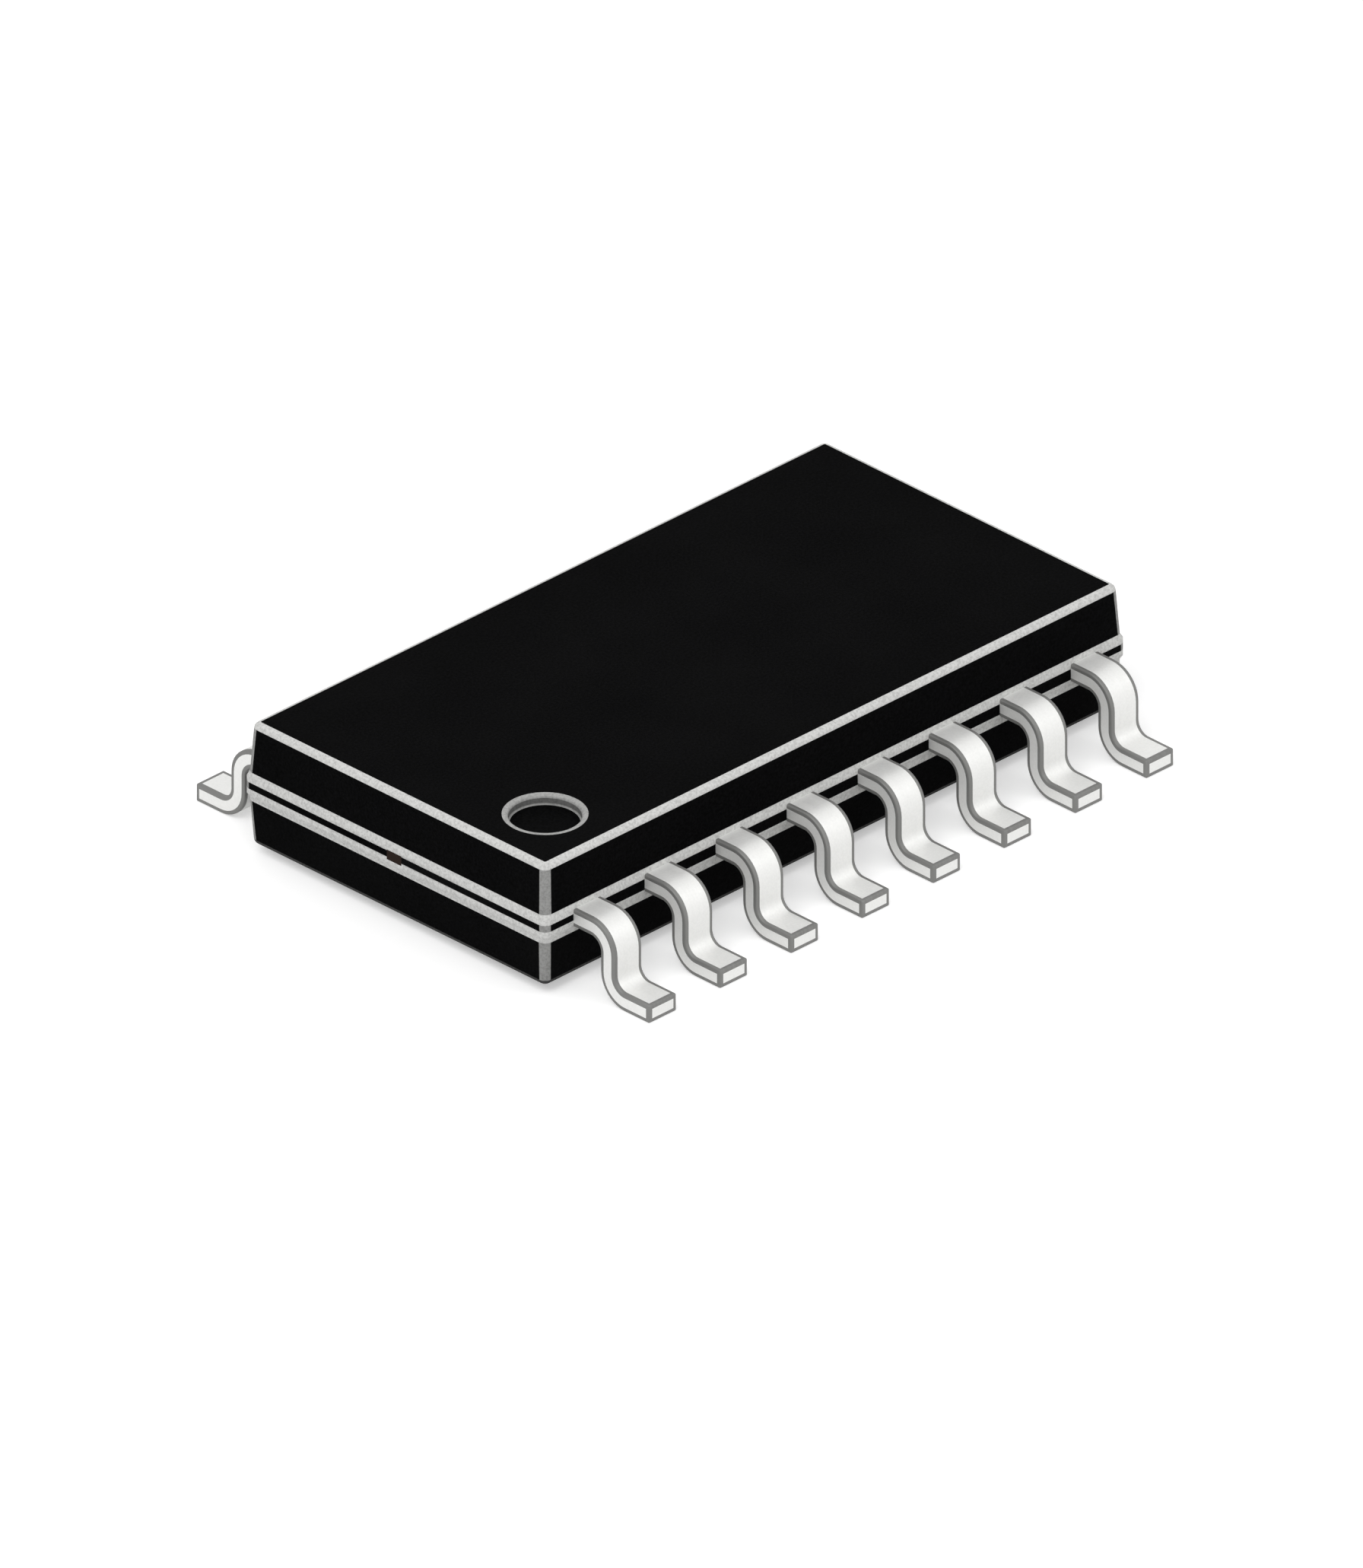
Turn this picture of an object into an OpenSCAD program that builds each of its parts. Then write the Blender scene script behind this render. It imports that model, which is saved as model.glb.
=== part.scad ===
// Small-outline integrated circuit with two rows of gull-wing leads.
// Millimetres, +Z up. The origin is the middle of the part on the plane that the feet stand on.
// Lead 1 is at -X, -Y, next to the round dimple, and the numbers run anticlockwise from above.

/* [Moulding] */
// Length of the moulding at its parting band
body_l = 10.4; // [10:0.05:12]
// Width of the moulding at its parting band
body_w = 5.4; // [5.1:0.05:7.6]
// Height of the moulding above its parting band
upper_h = 0.77; // [0.6:0.01:1.2]
// Height of the moulding below its parting band
lower_h = 0.74; // [0.64:0.01:1.2]
// Gap between the board and the underside of the moulding
standoff = 0.13; // [0.1:0.01:0.3]
// Draft of the side walls, in degrees
draft = 3.5; // [1:0.5:10]
// How far the parting band stands proud of the side walls
band_proud = 0.03; // [0.02:0.005:0.06]
// Height of the small slopes above and below the parting band
band_slope = 0.05; // [0.03:0.01:0.1]
// Radius of the four upright corners
corner_r = 0.1; // [0.1:0.01:0.2]
// Radius of the edges round the top and the underside
edge_r = 0.08; // [0.04:0.01:0.09]

/* [Marks in the moulding] */
// Diameter of the dimple that marks lead 1
dimple_d = 0.94; // [0.6:0.02:1.2]
// Depth of the dimple
dimple_depth = 0.13; // [0.08:0.01:0.15]
// Width of the slopes round the dimple's rim and round its floor
dimple_edge = 0.03; // [0.01:0.005:0.035]
// From the edges of the top face to the middle of the dimple
dimple_in = 0.96; // [0.7:0.01:1.5]
// Diameter of the two ejector pin marks in the underside
ejector_d = 1.2; // [0.8:0.1:1.6]
// Depth of the ejector pin marks
ejector_depth = 0.04; // [0.02:0.01:0.08]
// Distance between the two ejector pin marks
ejector_gap = 6.4; // [4:0.2:8]

/* [Leads outside the moulding] */
// Leads in each of the two rows
row_leads = 8; // [6:1:8]
// Distance between neighbouring leads
pitch = 1.27; // [1.1:0.01:1.3]
// Width of a lead
lead_w = 0.49; // [0.3:0.01:0.5]
// Thickness of the metal strip that the leads and the die pad are stamped from
frame_t = 0.25; // [0.15:0.01:0.28]
// From the parting band to the outer face of a lead's upright leg
leg_out = 0.73; // [0.65:0.01:1]
// From the outer face of the leg to the tip of the foot
foot_l = 0.62; // [0.4:0.01:0.9]
// Inside radius of both bends
bend_r = 0.18; // [0.1:0.01:0.22]

/* [Leads inside the moulding] */
// Width of a lead's root, which locks it in the moulding
root_w = 0.64; // [0.56:0.02:0.8]
// From the parting band to the outer end of the root
root_in = 0.14; // [0.1:0.01:0.2]
// Length of the root
root_l = 0.38; // [0.34:0.02:0.5]
// Diameter of the hole in the root that the moulding fills
lock_d = 0.2; // [0.1:0.02:0.24]
// Width of the finger that runs from the root to the die pad
finger_w = 0.3; // [0.2:0.02:0.34]
// Length of the finger's straight neck at the root
neck_l = 0.12; // [0.11:0.01:0.16]
// Length of the finger's straight tip
tip_l = 0.16; // [0.14:0.01:0.2]
// Gap between the finger tips and the die pad
finger_gap = 0.2; // [0.15:0.01:0.3]

/* [Die pad] */
// Length of the die pad
pad_l = 5; // [4:0.1:5.4]
// Width of the die pad
pad_w = 2; // [1.8:0.05:2.3]
// How far the die pad lies below the leads
downset = 0.2; // [0.1:0.01:0.35]
// Width of the two bars that held the die pad in the strip
tie_w = 0.26; // [0.2:0.02:0.4]
// Length of the slope in each bar that takes it up to the level of the leads
ramp_l = 0.26; // [0.2:0.02:0.4]
// Thickness of each bar's end, which is coined thin so that it cuts cleanly
coin_t = 0.14; // [0.1:0.01:0.14]
// Length of the coined end that stays in the moulding
coin_l = 0.3; // [0.2:0.05:0.5]
// Gap between a bar and the tips of the outermost fingers
tie_gap = 0.2; // [0.15:0.01:0.3]

/* [Die and wires] */
// Length of the die
die_l = 2.4; // [1.6:0.1:3.2]
// Width of the die
die_w = 1.5; // [1.1:0.05:1.6]
// Thickness of the die
die_t = 0.28; // [0.2:0.01:0.34]
// Thickness of the glue under the die
glue_t = 0.03; // [0.02:0.005:0.05]
// How far the glue shows round the die
glue_rim = 0.06; // [0.03:0.01:0.08]
// From the die's edge to the middle of a wire's ball
ball_in = 0.09; // [0.06:0.01:0.12]
// Diameter of a bonding wire
wire_d = 0.034; // [0.025:0.001:0.05]
// Diameter of the ball that joins a wire to the die
ball_d = 0.085; // [0.07:0.005:0.1]
// Height of a wire's loop above the die
loop_h = 0.17; // [0.12:0.01:0.2]

/* [Hidden] */
$fn = 48;

lead_total = 2 * row_leads;

black_epoxy = "#161616";
tinned_metal = "#d2d3d0";
bare_copper = "#b87a50";
silver_glue = "#9c9a94";
silicon = "#4c5260";
gold = "#d9ac46";

// Heights above the board
frame_z = standoff + lower_h;
frame_top = frame_z + frame_t;
body_top = frame_top + upper_h;
pad_z = frame_z - downset;
glue_z = pad_z + frame_t;
die_z = glue_z + glue_t;
die_top = die_z + die_t;

// Distances out from the middle of the part, across the rows
band_u = body_w / 2;
leg_u = band_u + leg_out;
tip_u = leg_u + foot_l;
bend_out = bend_r + frame_t;
root_u = band_u - root_in;
finger_u = root_u - root_l;
pad_gap_u = pad_w / 2 + finger_gap;

// How far the walls lean in from the band to the top and to the underside
top_inset = band_proud + (upper_h - band_slope) * tan(draft);
under_inset = band_proud + (lower_h - band_slope) * tan(draft);

// The last finger of a row ends beside the bar, at the end of the die pad
end_tip_x = pad_l / 2 + finger_gap;
end_tip_y = tie_w / 2 + tie_gap + finger_w / 2;

// A wire's ball is squashed on the die, and its other end is pressed flat on the finger
ball_h = ball_d / 2;
stitch_t = 0.012;
stitch_w = 0.06;
stitch_l = 0.05;
stitch_in = 0.05;
// The loop turns over within this length, and comes down to the stitch from this height
loop_turn = 3 * wire_d;
stitch_drop = 2 * wire_d;

// A cut runs this far past the face that it opens
cut_extra = 0.05;

wire_sides = 6;
corner_steps = 6;
edge_steps = 4;

function row_x(k) = (k - (row_leads - 1) / 2) * pitch;
function is_end(k) = k == 0 || k == row_leads - 1;
function side_of(k) = row_x(k) < 0 ? -1 : 1;

// Each finger has an equal share of the die pad's long side, and each wire of the die's
function shared_x(k, length) = (k - (row_leads - 1) / 2) * length / (row_leads - 2);

function unit(v) = v / norm(v);
function left_of(v) = [-v.y, v.x];

// The corner of a ribbon, half a width to the left of point b on the line a, b, c
function mitre(a, b, c, half) =
    let (p = left_of(unit(b - a)), q = left_of(unit(c - b)))
    b + half * (p + q) / (1 + p * q);

// One edge of a flat ribbon along a path, with its bends mitred
function ribbon_edge(path, half) =
    let (last = len(path) - 1)
    [for (i = [0 : last])
        i == 0 ? path[0] + half * left_of(unit(path[1] - path[0]))
        : i == last ? path[last] + half * left_of(unit(path[last] - path[last - 1]))
        : mitre(path[i - 1], path[i], path[i + 1], half)];

function reversed(list) = [for (i = [len(list) - 1 : -1 : 0]) list[i]];

// A finger's tip, and the way back from it along the finger's straight end
function tip_at(k) = is_end(k) ? [side_of(k) * end_tip_x, -end_tip_y] : [shared_x(k, pad_l), -pad_gap_u];
function tip_back(k) = is_end(k) ? [side_of(k), 0] : [0, -1];

// Middle line of a finger in the row on the -Y side, from the root to the tip
function finger_path(k) = [
    [row_x(k), -finger_u],
    [row_x(k), -finger_u + neck_l],
    tip_at(k) + tip_l * tip_back(k),
    tip_at(k)
];

// Where a wire's ball sits on the die, and where its stitch starts on the finger
function ball_at(k) = is_end(k)
    ? [side_of(k) * (die_l / 2 - ball_in), -end_tip_y * die_w / pad_w]
    : [shared_x(k, die_l), -(die_w / 2 - ball_in)];
function stitch_at(k) = tip_at(k) + stitch_in * tip_back(k);

// A rectangle with round corners at height z, inset all round from the parting band
function section(z, inset, r) = [
    for (i = [0 : 3], j = [0 : corner_steps])
        let (
            a = 90 * i + 90 * j / corner_steps,
            cx = (i == 0 || i == 3 ? 1 : -1) * (body_l / 2 - inset - r),
            cy = (i < 2 ? 1 : -1) * (body_w / 2 - inset - r)
        )
        [cx + r * cos(a), cy + r * sin(a), z]
];

// A closed skin over sections that all have the same number of points
module skin(sections) {
    n = len(sections[0]);
    rows = len(sections);
    polyhedron(
        points = [for (s = sections, p = s) p],
        faces = concat(
            [[for (i = [0 : n - 1]) i]],
            [for (r = [0 : rows - 2], i = [0 : n - 1])
                let (j = (i + 1) % n)
                [r * n + i, (r + 1) * n + i, (r + 1) * n + j, r * n + j]],
            [[for (i = [n - 1 : -1 : 0]) (rows - 1) * n + i]]
        )
    );
}

// The outside of the moulding: walls with draft, round edges and the proud parting band
module moulding_outside() {
    skin(concat(
        [for (j = [0 : edge_steps])
            let (a = 90 * j / edge_steps, e = edge_r * (1 - sin(a)))
            section(standoff + edge_r * (1 - cos(a)), under_inset + e, corner_r - e)],
        [section(frame_z - band_slope, band_proud, corner_r),
         section(frame_z, 0, corner_r),
         section(frame_top, 0, corner_r),
         section(frame_top + band_slope, band_proud, corner_r)],
        [for (j = [edge_steps : -1 : 0])
            let (a = 90 * j / edge_steps, e = edge_r * (1 - sin(a)))
            section(body_top - edge_r * (1 - cos(a)), top_inset + e, corner_r - e)]
    ));
}

module pin_1_dimple() {
    r = dimple_d / 2;
    translate([
        -(body_l / 2 - top_inset - dimple_in),
        -(body_w / 2 - top_inset - dimple_in),
        body_top
    ])
        rotate_extrude()
            polygon([
                [0, -dimple_depth],
                [r - dimple_edge, -dimple_depth],
                [r, dimple_edge - dimple_depth],
                [r, -dimple_edge],
                [r + dimple_edge, 0],
                [r + dimple_edge, cut_extra],
                [0, cut_extra]
            ]);
}

module ejector_marks() {
    for (s = [-1, 1])
        translate([s * ejector_gap / 2, 0, standoff - cut_extra])
            cylinder(d = ejector_d, h = ejector_depth + cut_extra);
}

// A lead's outline from above: the strip that is bent later, the root and the finger
module lead_outline(k) {
    // Half the width and the distance out, from the tip of the foot to the inner end of the root
    strip = [
        [lead_w / 2, tip_u],
        [lead_w / 2, root_u],
        [root_w / 2, root_u],
        [root_w / 2, finger_u]
    ];
    difference() {
        polygon(concat(
            [for (p = strip) [row_x(k) + p.x, -p.y]],
            ribbon_edge(finger_path(k), -finger_w / 2),
            reversed(ribbon_edge(finger_path(k), finger_w / 2)),
            [for (p = reversed(strip)) [row_x(k) - p.x, -p.y]]
        ));
        translate([row_x(k), -(root_u - root_l / 2)])
            circle(d = lock_d);
    }
}

// A quarter turn of the strip round [u, z]: over the shoulder, or flipped for the heel
module bend(u, z, flipped) {
    translate([u, z])
        rotate(flipped ? 180 : 0)
            intersection() {
                difference() {
                    circle(r = bend_out);
                    circle(r = bend_r);
                }
                square(2 * bend_out);
            }
}

// A lead from the side: flat in the moulding, down the leg and out along the foot
module lead_side() {
    shoulder_z = frame_top - bend_out;
    translate([0, frame_z])
        square([leg_u - bend_out, frame_t]);
    bend(leg_u - bend_out, shoulder_z, false);
    translate([leg_u - frame_t, bend_out])
        square([frame_t, shoulder_z - bend_out]);
    bend(leg_u + bend_r, bend_out, true);
    translate([leg_u + bend_r, 0])
        square([foot_l - bend_r, frame_t]);
}

// The row at -Y has the first half of the leads, and the other row is the same one turned round
module in_row(n) {
    rotate([0, 0, n > row_leads ? 180 : 0])
        children();
}

module lead(n) {
    k = (n - 1) % row_leads;
    color(tinned_metal)
        in_row(n)
            intersection() {
                linear_extrude(frame_top)
                    lead_outline(k);
                translate([row_x(k) < 0 ? row_x(k) - root_w : 0, 0, 0])
                    rotate([90, 0, -90])
                        mirror([0, 0, 1])
                            linear_extrude(abs(row_x(k)) + root_w)
                                lead_side();
            }
}

// The pad with its two bars, which slope up to the level of the leads and are cut at the walls
module die_pad() {
    slope = atan(downset / ramp_l);
    shift = frame_t * tan(slope / 2);
    coin_x = body_l / 2 - coin_l;
    thinned = (frame_t - coin_t) / 2;
    half = [
        [pad_l / 2, pad_z],
        [pad_l / 2 + ramp_l, frame_z],
        [coin_x, frame_z],
        [coin_x, frame_z + thinned],
        [body_l / 2, frame_z + thinned],
        [body_l / 2, frame_top - thinned],
        [coin_x, frame_top - thinned],
        [coin_x, frame_top],
        [pad_l / 2 + ramp_l - shift, frame_top],
        [pad_l / 2 - shift, glue_z]
    ];
    color(bare_copper)
        union() {
            translate([-pad_l / 2, -pad_w / 2, pad_z])
                cube([pad_l, pad_w, frame_t]);
            translate([0, tie_w / 2, 0])
                rotate([90, 0, 0])
                    linear_extrude(tie_w)
                        polygon(concat(half, [for (p = reversed(half)) [-p.x, p.y]]));
        }
}

module die_glue() {
    color(silver_glue)
        translate([-die_l / 2 - glue_rim, -die_w / 2 - glue_rim, glue_z])
            cube([die_l + 2 * glue_rim, die_w + 2 * glue_rim, glue_t]);
}

module silicon_die() {
    color(silicon)
        translate([-die_l / 2, -die_w / 2, die_z])
            cube([die_l, die_w, die_t]);
}

// One ring of a wire: its middle, the way the wire runs there, and half its width and height.
// The ring's flat sides are at half its height.
function ring(middle, way, across, half_w, half_h) =
    let (up = cross(across, way), k = 1 / cos(180 / wire_sides))
    [for (i = [0 : wire_sides - 1])
        let (a = 360 * i / wire_sides)
        middle + across * half_w * cos(a) + up * half_h * k * sin(a)];

// A wire from its ball on the die, up and over, down to its flattened stitch on the finger
module bond_wire(n) {
    k = (n - 1) % row_leads;
    from = ball_at(k);
    to = stitch_at(k);
    run = norm(to - from);
    ahead = concat(unit(to - from), [0]);
    across = cross([0, 0, 1], ahead);
    up = [0, 0, 1];
    r = wire_d / 2;
    drop = frame_top - die_top;
    down = unit(ahead * (run - 2 * loop_turn) + up * (drop + stitch_drop - loop_h));
    function at(s, h) = concat(from, [die_top]) + ahead * s + up * h;
    color(gold)
        in_row(n)
            skin([
                ring(at(0, 0), up, across, ball_d / 2, ball_d / 2),
                ring(at(0, ball_h / 2), up, across, ball_d / 2, ball_d / 2),
                ring(at(0, ball_h), up, across, r, r),
                ring(at(0, loop_h - 2 * wire_d), up, across, r, r),
                ring(at(wire_d, loop_h - r), unit(up + ahead), across, r, r),
                ring(at(loop_turn, loop_h - r), ahead, across, r, r),
                ring(at(run - loop_turn, drop + stitch_drop), down, across, r, r),
                ring(at(run, drop + stitch_t / 2), ahead, across, stitch_w / 2, stitch_t / 2),
                ring(at(run + stitch_l, drop + stitch_t / 2), ahead, across, stitch_w / 2, stitch_t / 2)
            ]);
}

// What the moulding flows round
module held_inside() {
    die_pad();
    die_glue();
    silicon_die();
    for (n = [1 : lead_total]) {
        lead(n);
        bond_wire(n);
    }
}

module mould_body() {
    color(black_epoxy)
        difference() {
            moulding_outside();
            pin_1_dimple();
            ejector_marks();
            held_inside();
        }
}

mould_body();
die_pad();
die_glue();
silicon_die();
for (n = [1 : lead_total]) {
    lead(n);
    bond_wire(n);
}
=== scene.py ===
# %% [markdown]
# # A small-outline chip package
# The object is a flat black chip package with a row of gull-wing leads along each long side. Its
# sizes, its body and everything that it holds inside come from a CAD model, which is loaded here as
# a fixed frame. Blender adds what the eye meets first: the fine rounding of every edge, the matt
# skin of the moulding and the tin on the leads.

# %% Load the frame
import math

import bmesh
import bpy
from mathutils import Matrix, Vector


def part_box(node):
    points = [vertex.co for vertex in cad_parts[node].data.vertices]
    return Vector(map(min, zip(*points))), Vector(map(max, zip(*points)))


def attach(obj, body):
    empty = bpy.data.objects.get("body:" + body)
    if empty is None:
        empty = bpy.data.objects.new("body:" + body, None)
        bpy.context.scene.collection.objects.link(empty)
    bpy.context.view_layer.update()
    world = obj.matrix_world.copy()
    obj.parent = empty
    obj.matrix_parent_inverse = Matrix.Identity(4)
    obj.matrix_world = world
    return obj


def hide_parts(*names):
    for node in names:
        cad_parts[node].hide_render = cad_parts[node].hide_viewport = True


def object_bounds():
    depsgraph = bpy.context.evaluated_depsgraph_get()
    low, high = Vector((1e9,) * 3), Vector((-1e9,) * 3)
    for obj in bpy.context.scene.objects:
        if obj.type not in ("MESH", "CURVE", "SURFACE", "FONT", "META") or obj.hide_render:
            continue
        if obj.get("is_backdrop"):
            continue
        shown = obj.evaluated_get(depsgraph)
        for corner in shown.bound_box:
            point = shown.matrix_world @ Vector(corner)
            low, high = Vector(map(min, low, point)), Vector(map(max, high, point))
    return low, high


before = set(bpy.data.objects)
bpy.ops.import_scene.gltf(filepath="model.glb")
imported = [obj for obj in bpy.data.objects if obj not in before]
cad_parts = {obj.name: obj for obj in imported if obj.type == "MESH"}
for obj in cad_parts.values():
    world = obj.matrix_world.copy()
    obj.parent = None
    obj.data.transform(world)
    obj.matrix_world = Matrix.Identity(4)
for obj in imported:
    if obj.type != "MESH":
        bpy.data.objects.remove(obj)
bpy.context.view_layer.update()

MM = 0.001

# %% [markdown]
# ## The camera
# The photograph is a parallel projection: lines that are parallel on the package stay parallel in
# the picture. An orthographic camera gives that, and a perspective one with a long lens would only
# come near. The slope of the long edges gives the height of the view, and the spacing of the leads,
# which is known, gives the scale. The package doesn't sit quite in the middle of the photograph, so
# the camera aims a little past it.

# %% Set the camera
PHOTO_H_PX = 2061
PHOTO_PX_PER_MM = 104.0
VIEW_AZIMUTH = -45
VIEW_ELEVATION = 29.5
CAMERA_DISTANCE = 0.2
CLIP_NEAR = 0.01
CLIP_FAR = 2.0
AIM_RIGHT = -0.043 * MM
AIM_UP = -0.012 * MM


def towards(azimuth, elevation):
    """The direction out of the package at these angles in degrees. Azimuth 0 is the front, -Y."""
    a, e = math.radians(azimuth), math.radians(elevation)
    return Vector((math.sin(a) * math.cos(e), -math.cos(a) * math.cos(e), math.sin(e)))


camera_data = bpy.data.cameras.new("photo_camera")
camera_data.type = "ORTHO"
camera_data.ortho_scale = PHOTO_H_PX / PHOTO_PX_PER_MM * MM
camera_data.clip_start = CLIP_NEAR
camera_data.clip_end = CLIP_FAR
camera = bpy.data.objects.new("photo_camera", camera_data)
turned = towards(VIEW_AZIMUTH, VIEW_ELEVATION).to_track_quat("Z", "Y")
camera.location = turned @ Vector((AIM_RIGHT, AIM_UP, CAMERA_DISTANCE))
camera.rotation_euler = turned.to_euler()
bpy.context.scene.collection.objects.link(camera)
bpy.context.scene.camera = camera
print("picture height, mm:", round(camera_data.ortho_scale / MM, 2))

# %% [markdown]
# ## Nodes and colours
# Every finish below is a few nodes in a row. One small function adds a node with its settings and
# its links, so that a material reads from top to bottom like a recipe. Colours are written as they
# look on a screen, and one function turns them into the linear values that Blender works with. A Mix
# node has sockets of the same name for numbers, for vectors and for colours, so the ones for colours
# go by their numbers, and so do the two values of a Math node.

# %% Add a node, write a colour
FACTOR, COLOUR_A, COLOUR_B = 0, 6, 7
MIXED = 2


def linear(hex_colour):
    """A colour such as "#808080" as linear red, green, blue and alpha. The numbers are sRGB's own."""
    shares = [int(hex_colour[i:i + 2], 16) / 255 for i in (1, 3, 5)]
    return (*(c / 12.92 if c <= 0.04045 else ((c + 0.055) / 1.055) ** 2.4 for c in shares), 1.0)


def add_node(tree, kind, inputs=None, **settings):
    """Adds a node. inputs gives each socket a value, or another node's output to link to."""
    node = tree.nodes.new(kind)
    for name, value in settings.items():
        setattr(node, name, value)
    for socket, value in (inputs or {}).items():
        if isinstance(value, bpy.types.NodeSocket):
            tree.links.new(value, node.inputs[socket])
        else:
            node.inputs[socket].default_value = value
    return node


def new_material(name):
    """An empty material, its node tree, and Object coordinates in millimetres."""
    material = bpy.data.materials.new(name)
    material.use_nodes = True
    tree = material.node_tree
    tree.nodes.clear()
    place = add_node(tree, "ShaderNodeTexCoord")
    in_mm = add_node(tree, "ShaderNodeMapping", {
        "Vector": place.outputs["Object"], "Scale": (1 / MM, 1 / MM, 1 / MM)})
    return material, tree, in_mm.outputs["Vector"]


print("black epoxy in linear values:", [round(v, 4) for v in linear("#0d0d0e")])

# %% [markdown]
# ## The light
# The package is small and plain, so the light is plain too: an even white sky with one large soft
# lamp from the upper left and a weaker one from the right. Together they light a level white card to
# about full white, so that a colour shows about as it is written. The power of a lamp is worked out
# from the light that it should give: a matt white surface sends back its power over the square of
# pi times the distance.

# %% Set the lamps
SKY_SHARE = 0.75
KEY_SHARE = 0.34
FILL_SHARE = 0.1
KEY_ELEVATION = 55
FILL_ELEVATION = 40
LAMP_DISTANCE = 0.12


def softbox(name, azimuth, elevation, size, share):
    """A square lamp that gives about this share of full white on a surface that faces it."""
    away = towards(azimuth, elevation)
    data = bpy.data.lights.new(name, "AREA")
    data.size = size
    data.energy = share * (math.pi * LAMP_DISTANCE) ** 2
    lamp = bpy.data.objects.new(name, data)
    lamp.location = away * LAMP_DISTANCE
    lamp.rotation_euler = away.to_track_quat("Z", "Y").to_euler()
    lamp.visible_camera = False
    bpy.context.scene.collection.objects.link(lamp)


softbox("key_lamp", azimuth=-75, elevation=KEY_ELEVATION, size=0.07, share=KEY_SHARE)
softbox("fill_lamp", azimuth=35, elevation=FILL_ELEVATION, size=0.05, share=FILL_SHARE)
from_key = KEY_SHARE * math.sin(math.radians(KEY_ELEVATION))
from_fill = FILL_SHARE * math.sin(math.radians(FILL_ELEVATION))
print("light on a level white card, share of white:", round(SKY_SHARE + from_key + from_fill, 2))

# %% [markdown]
# The sky has two strengths. The camera and the reflections see it pure white, and the matt surfaces
# get three quarters of that from it, which leaves room for the lamps. A ray that has come through
# glass counts as a reflection, though nothing here is clear. The Standard view shows each colour as
# it comes.

# %% Set the sky
def seen_or_mirrored(tree):
    """1 for a ray from the camera, from a mirror or through glass, and 0 for one that lights."""
    ray = add_node(tree, "ShaderNodeLightPath")
    mirrored = add_node(tree, "ShaderNodeMath", {
        0: ray.outputs["Is Glossy Ray"], 1: ray.outputs["Is Transmission Ray"]}, operation="MAXIMUM")
    seen = add_node(tree, "ShaderNodeMath", {
        0: ray.outputs["Is Camera Ray"], 1: mirrored.outputs[0]}, operation="MAXIMUM")
    return seen.outputs[0]


world = bpy.data.worlds.new("white_sky")
world.use_nodes = True
sky = world.node_tree
sky.nodes.clear()
strength = add_node(sky, "ShaderNodeMapRange", {
    "Value": seen_or_mirrored(sky), "To Min": SKY_SHARE, "To Max": 1.0})
backdrop = add_node(sky, "ShaderNodeBackground", {
    "Color": linear("#ffffff"), "Strength": strength.outputs[0]})
add_node(sky, "ShaderNodeOutputWorld", {"Surface": backdrop.outputs[0]})
bpy.context.scene.world = world
bpy.context.scene.view_settings.view_transform = "Standard"
print("sky strength, for the camera and for the surfaces:", 1.0, SKY_SHARE)

# %% [markdown]
# The floor is a white card. A card alone would come out a little grey, so it also glows. Only the
# camera and the reflections see the glow, so it adds next to no light to the black moulding, and the
# shadow on the card stays.

# %% Lay the floor
FLOOR_HALF = 0.3
FLOOR_GLOW = 0.4

bm = bmesh.new()
bmesh.ops.create_grid(bm, x_segments=1, y_segments=1, size=FLOOR_HALF)
floor_mesh = bpy.data.meshes.new("floor")
bm.to_mesh(floor_mesh)
bm.free()
floor = bpy.data.objects.new("floor", floor_mesh)
bpy.context.scene.collection.objects.link(floor)
floor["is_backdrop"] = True

paper, tree, _ = new_material("white_card")
card = add_node(tree, "ShaderNodeBsdfDiffuse", {"Color": linear("#e6e6e6")})
glow_seen = add_node(tree, "ShaderNodeMath", {
    0: seen_or_mirrored(tree), 1: FLOOR_GLOW}, operation="MULTIPLY")
glow = add_node(tree, "ShaderNodeEmission", {
    "Color": linear("#ffffff"), "Strength": glow_seen.outputs[0]})
glowing_card = add_node(tree, "ShaderNodeAddShader", {0: card.outputs[0], 1: glow.outputs[0]})
add_node(tree, "ShaderNodeOutputMaterial", {"Surface": glowing_card.outputs[0]})
floor_mesh.materials.append(paper)
print("floor, mm across:", 2 * FLOOR_HALF / MM)

# %% [markdown]
# ## The moulding compound
# The body is an epoxy filled with fine quartz powder and carbon black, pressed into a steel mould
# whose walls were spark eroded. That gives a matt, finely grained skin, a little uneven from place
# to place. A noise with grains of a few hundredths of a millimetre makes the bump, and a coarser
# one shifts the gloss. Where the skin turns over an edge, handling and tubes wear it a little paler,
# and a much paler grey is painted there on top as an edge highlight. The mesh marks those faces
# with an attribute that the material reads.

# %% Make the moulding compound
FILLER_GRAIN_MM = 0.035
FLOW_MM = 1.6
GRAIN_RELIEF = 0.006 * MM
EDGE_WEAR_AND_LIGHT = "edge_wear_and_painted_light"

epoxy, tree, in_mm = new_material("filled_black_epoxy")
grain = add_node(tree, "ShaderNodeTexNoise", {
    "Vector": in_mm, "Scale": 1 / FILLER_GRAIN_MM, "Detail": 3.0, "Roughness": 0.6})
flow = add_node(tree, "ShaderNodeTexNoise", {
    "Vector": in_mm, "Scale": 1 / FLOW_MM, "Detail": 4.0, "Roughness": 0.55})
edge_wear_and_light_mask = add_node(tree, "ShaderNodeAttribute", attribute_name=EDGE_WEAR_AND_LIGHT)
speck = add_node(tree, "ShaderNodeMapRange", {
    "Value": grain.outputs[0], "From Min": 0.35, "From Max": 0.75})
skin = add_node(tree, "ShaderNodeMix", {
    FACTOR: speck.outputs[0], COLOUR_A: linear("#040404"), COLOUR_B: linear("#0d0d0e"),
}, data_type="RGBA")
wear_and_light_amount = add_node(tree, "ShaderNodeMapRange", {
    "Value": grain.outputs[0], "From Min": 0.3, "From Max": 0.6, "To Min": 0.7, "To Max": 1.0})
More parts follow.
